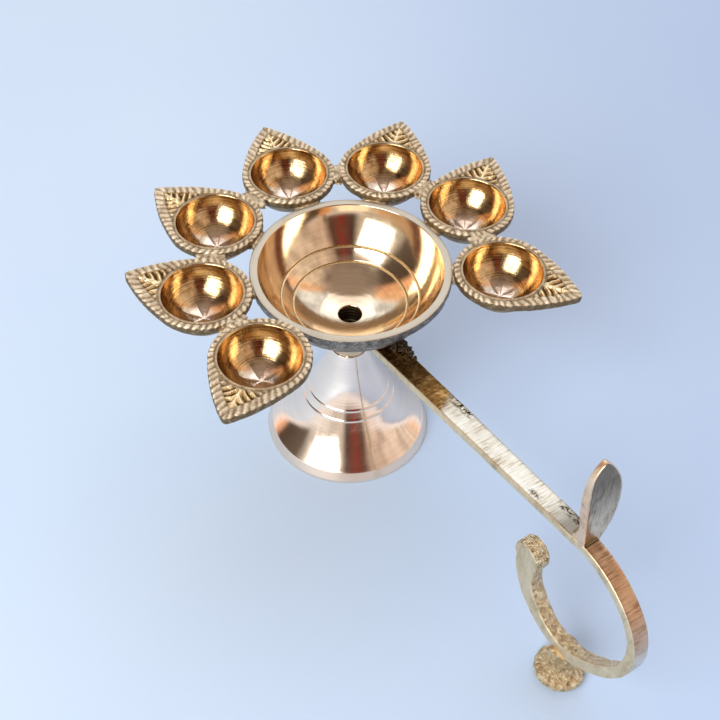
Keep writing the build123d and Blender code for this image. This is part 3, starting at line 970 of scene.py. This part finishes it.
def make_knob():
    """The thick round end of the curl: a disc that lies across the handle, with softened edges."""
    knob_x, drop, radius = KNOB
    half = 2.95
    profile = tidy_profile(
        line((0.6, -half), (radius - 1.0, -2.9), spacing=0.5),
        circle_arc((radius - 1.0, -1.9), 1.0, 5, 85, 6),
        line((radius, -1.5), (radius, 1.5), spacing=0.4),
        circle_arc((radius - 1.0, 1.9), 1.0, 95, 175, 6),
        line((radius - 1.0, 2.9), (0.6, half), spacing=0.5),
    )
    sectors = 96
    rings = lathe_points(profile, sectors)
    across = rings[:, 2].copy()
    points = np.c_[knob_x + rings[:, 0], across, RIM_Z - drop + rings[:, 1]]
    away = np.maximum(np.hypot(rings[:, 0], rings[:, 1]), 1)
    lumps = 0.22 * grain(points, 2.0, 6.0) + 0.15 * grain(points, 0.8, 2.0) - 0.06
    points[:, 0] += rings[:, 0] / away * lumps
    points[:, 2] += rings[:, 1] / away * lumps
    points[:, 1] += np.sign(across) * 0.3 * np.minimum(lumps, 0.1)
    points = np.vstack([points, [(knob_x, -half, RIM_Z - drop), (knob_x, half, RIM_Z - drop)]])
    exposed = np.clip(0.5 + 0.5 * grain(points, 1.1, 5.0), 0, 1)
    flat_side = np.abs(profile[:-1, 1] + profile[1:, 1]) > 5.3
    indices = np.repeat(np.where(flat_side, 1, 0), sectors).tolist() + [1] * (2 * sectors)
    mesh_piece("handle_knob", points, flip_all(capped_faces(len(profile), sectors)), [CURL_SKIN, BAR_SIDE],
               "head", [], indices, exposed)


# Edges of the thumb leaf, as height above the rim and distance across the handle.
THUMB_LEFT = ((-9.0, -3.0), (0.0, -3.7), (8.5, -4.7), (17.5, -5.4), (25.0, -4.6), (28.6, -2.4), (29.8, -0.9))
THUMB_RIGHT = ((-9.0, 3.4), (-5.0, 5.4), (1.0, 7.3), (9.5, 8.0), (17.5, 6.9), (24.0, 4.2), (28.2, 1.3),
               (29.8, -0.4))
THUMB_DEPTH = (             # height above the rim, middle, thickness
    (-9.0, 123.1, 6.5),
    (-6.8, 123.3, 6.1),
    (-4.6, 124.0, 4.7),
    (-2.0, 124.4, 3.85),
    (8.0, 124.45, 3.7),
    (14.0, 124.5, 3.6),
    (22.0, 124.45, 2.9),
    (29.8, 124.4, 2.1),
)


def make_thumb_leaf():
    """Upright leaf, wider on one side: flat squarish rings stacked up its height."""
    heights = np.linspace(-8.9, 29.7, 78)
    left, right, depth = (spline(side, 0.1) for side in (THUMB_LEFT, THUMB_RIGHT, THUMB_DEPTH))
    columns = 48
    rows = len(heights)
    points = []
    for height in heights:
        low = np.interp(height, left[:, 0], left[:, 1])
        high = np.interp(height, right[:, 0], right[:, 1])
        middle = np.interp(height, depth[:, 0], depth[:, 1])
        thick = np.interp(height, depth[:, 0], depth[:, 2])
        section = strip_section(columns, 6.0)
        dish = 0.30 * (1 - section[:, 0] ** 2) * (section[:, 1] > 0)
        across = (low + high) / 2 + section[:, 0] * (high - low) / 2
        x = middle + section[:, 1] * thick / 2 - dish
        points.append(np.c_[x, across, np.full(columns, RIM_Z + height)])
    points = np.array(points)
    points += 0.10 * grain(points, 1.6, 1.0)[..., None] * np.array([0.3, 1, 0])
    flat = points.reshape(-1, 3)
    flat = np.vstack([flat, flat[:columns].mean(axis=0), flat[-columns:].mean(axis=0)])
    eighth = columns // 8
    face_column = np.arange(columns)
    broad = (face_column % (4 * eighth) >= eighth) & (face_column % (4 * eighth) < 3 * eighth)
    indices = np.tile(np.where(broad, 0, 1), rows - 1).tolist() + [1] * (2 * columns)
    exposed = np.clip(0.6 + 0.4 * grain(flat, 1.3, 7.0), 0, 1)
    mesh_piece("thumb_leaf_cast", flat, capped_faces(rows, columns), [THUMB_FACE, THUMB_EDGE], "head",
               ["thumb_leaf"], indices, exposed)


def make_rest_pad():
    """Round pad on the floor, with a rough neck that flares into the curl above."""
    neck_top = 15.4
    profile = tidy_profile(
        line((1.0, 0.0), (7.5, 0.0), spacing=1.0),
        circle_arc((7.1, 2.3), 1.6, 12, 150, 14),
        spline([(7.0, 4.0), (5.9, 5.1), (5.0, 6.3), (4.3, 8.4), (4.2, 11.0), (4.5, 13.4), (4.9, 15.2)], 0.6),
        line((4.2, neck_top), (1.0, neck_top), spacing=1.0),
    )
    sectors = 120
    points = lathe_points(profile, sectors)
    lumps = 0.35 * grain(points, 3.0, 1.0) + 0.24 * grain(points, 1.1, 4.0) - 0.12
    lumps = lumps * ramp(points[:, 2], 0.05, 1.0)
    radius = np.maximum(np.hypot(points[:, 0], points[:, 1]), 1)
    points[:, 0] += points[:, 0] / radius * lumps
    points[:, 1] += points[:, 1] / radius * lumps
    points[:, 2] += 0.5 * lumps * ramp(points[:, 2], 0.5, 2.0)
    points = np.vstack([points, [(0, 0, 0), (0, 0, neck_top)]]) + (PAD_X, 0, 0)
    exposed = np.clip(0.45 + 0.5 * grain(points, 1.2, 2.0), 0, 1)
    mesh_piece("rest_pad_cast", points, capped_faces(len(profile), sectors), [CURL_SKIN], "head",
               ["rest_pad"], relief=exposed)


make_foot()
make_stud()
make_bowl()
for leaf_number in range(len(CUP_AZIMUTHS)):
    make_leaf(leaf_number)
make_leaf_brazes()
make_rim_brazes()
make_handle_braze()
make_handle()
make_knob()
make_thumb_leaf()
make_rest_pad()

# ---------------- floor, light and camera

LIGHT_DISTANCE = 1.6        # metres from the lamp


def make_floor():
    """Pale blue paper, with painted shade making it a little darker towards the camera's right."""
    mesh = bpy.data.meshes.new("floor")
    half = 6.0
    corners = [(-half, -half, 0), (half, -half, 0), (half, half, 0), (-half, half, 0)]
    mesh.from_pydata(corners, [], [(0, 1, 2, 3)])
    material, tree, shader = new_material("floor_paper")
    point = object_point(tree)
    fibres = noise(tree, point, 900.0, detail=4.0)
    drift = noise(tree, point, 6.0, detail=3.0)
    shade = blend(tree, fibres, drift, 0.25)
    x, y, _ = coordinates(tree, point)
    # Painted shade: the paper passes from a lit copy to a dim copy towards the camera's right, standing in
    # for light falling off across the floor.
    sideways = maths(tree, "ADD", maths(tree, "MULTIPLY", x, 0.57), maths(tree, "MULTIPLY", y, 0.82))
    painted_dimming = spread(tree, sideways, -0.10, 0.26, 0.0, 1.0)
    lit = colours(tree, shade, (0.3, (0.60, 0.77, 1.0)), (0.7, (0.63, 0.80, 1.0)))
    dim = colours(tree, shade, (0.3, (0.44, 0.60, 0.89)), (0.7, (0.47, 0.63, 0.92)))
    tree.links.new(mix(tree, painted_dimming, lit, dim), shader.inputs["Base Color"])
    shader.inputs["Roughness"].default_value = 0.85
    tree.links.new(bump(tree, fibres, 0.0001, 0.4), shader.inputs["Normal"])
    mesh.materials.append(material)
    add_object("floor", mesh)


def make_light(name, azimuth, elevation, width, height, watts, colour):
    """A soft box at a direction from the lamp, facing it."""
    data = bpy.data.lights.new(name, "AREA")
    data.shape = "RECTANGLE"
    data.size, data.size_y = width, height
    data.energy = watts
    data.color = colour
    light = add_object(name, data)
    a, e = math.radians(azimuth), math.radians(elevation)
    target = Vector((0.04, 0.0, 0.06))
    direction = Vector((math.cos(e) * math.cos(a), math.cos(e) * math.sin(a), math.sin(e)))
    light.location = target + LIGHT_DISTANCE * direction
    light.rotation_euler = (target - light.location).to_track_quat("-Z", "Y").to_euler()
    light.visible_camera = False


WALLS = (                   # azimuth in degrees, and the colour the metal mirrors from there
    (-172, (0.74, 0.79, 0.88)),
    (-163, (0.85, 0.52, 0.30)),
    (-143, (0.80, 0.42, 0.25)),
    (-136, (0.06, 0.04, 0.03)),
    (-105, (0.10, 0.075, 0.06)),
    (-92, (0.75, 0.70, 0.64)),
    (-44, (0.60, 0.52, 0.46)),
    (-36, (0.04, 0.02, 0.017)),
    (-20, (0.20, 0.03, 0.02)),
    (-8, (0.07, 0.035, 0.025)),
    (4, (0.62, 0.46, 0.38)),
    (34, (0.62, 0.50, 0.42)),
    (68, (0.78, 0.64, 0.53)),
    (82, (0.88, 0.50, 0.28)),
    (90, (0.80, 0.84, 0.92)),
    (180, (0.74, 0.79, 0.88)),
)
CEILING = (
    (-180, (0.38, 0.31, 0.28)),
    (-138, (0.34, 0.27, 0.24)),
    (-128, (0.22, 0.18, 0.16)),
    (58, (0.24, 0.18, 0.15)),
    (70, (0.34, 0.27, 0.24)),
    (180, (0.38, 0.31, 0.28)),
)


def round_room(tree, turn, stops):
    """Colour by azimuth, where turn goes from 0 to 1 round the room."""
    return colours(tree, turn, *(((degrees + 180) / 360, colour) for degrees, colour in stops))


def make_world():
    """The room round the lamp, as the metal mirrors it: warm and dark zones of wall, a dim ceiling,
    and pale paper low down. The camera itself sees plain pale blue."""
    world = bpy.data.worlds.new("room")
    world.use_nodes = True
    bpy.context.scene.world = world
    tree = world.node_tree
    background = tree.nodes["Background"]
    towards = add_node(tree, "TexCoord").outputs["Generated"]
    x, y, z = coordinates(tree, towards)
    turn = spread(tree, maths(tree, "ARCTAN2", y, x), -math.pi, math.pi, 0.0, 1.0)
    high = spread(tree, z, 0.80, 0.90, 0.0, 1.0)
    room = mix(tree, high, round_room(tree, turn, WALLS), round_room(tree, turn, CEILING))
    folds = noise(tree, stretched(tree, towards, (7, 7, 1.6)), 1.0, detail=4.0)
    room = mix(tree, spread(tree, folds, 0.38, 0.62, 0.0, 0.45), room, (0.09, 0.065, 0.05))
    zenith = spread(tree, z, 0.92, 0.97, 0.0, 1.0)
    room = mix(tree, zenith, room, (0.24, 0.19, 0.16))
    paper = spread(tree, z, 0.04, 0.12, 1.0, 0.0)
    room = mix(tree, paper, room, (0.68, 0.64, 0.64))
    seen = add_node(tree, "LightPath").outputs["Is Camera Ray"]
    tree.links.new(mix(tree, seen, room, (0.60, 0.68, 0.84)), background.inputs["Color"])
    background.inputs["Strength"].default_value = 1.45


def make_camera():
    """Camera looking down on the lamp from beyond the handle's side."""
    azimuth_turn = math.radians(55.0)
    pitch = 0.841325            # radians below the level
    roll = 0.0312605            # radians
    place = Vector((4.0, -321.7, 313.1 + RIM_Z)) * MM
    forward = Vector((0, math.cos(pitch), -math.sin(pitch)))
    flat_right = Vector((1, 0, 0))
    flat_up = flat_right.cross(forward)
    right = flat_right * math.cos(roll) + flat_up * math.sin(roll)
    up = flat_up * math.cos(roll) - flat_right * math.sin(roll)
    spin = Matrix.Rotation(azimuth_turn, 3, "Z")
    axes = Matrix([spin @ right, spin @ up, spin @ -forward]).transposed()
    data = bpy.data.cameras.new("camera")
    data.sensor_width = 36.0
    data.lens = 66.59
    camera = add_object("camera", data)
    camera.matrix_world = Matrix.Translation(spin @ place) @ axes.to_4x4()
    bpy.context.scene.camera = camera


make_floor()
make_light("key_softbox", -70, 33, width=1.07, height=1.23, watts=23, colour=(1.0, 0.99, 0.97))
make_light("back_fill", 145, 54, width=1.3, height=1.0, watts=3.6, colour=(0.94, 0.95, 1.0))
make_world()
make_camera()
bpy.context.scene.view_settings.view_transform = "Standard"
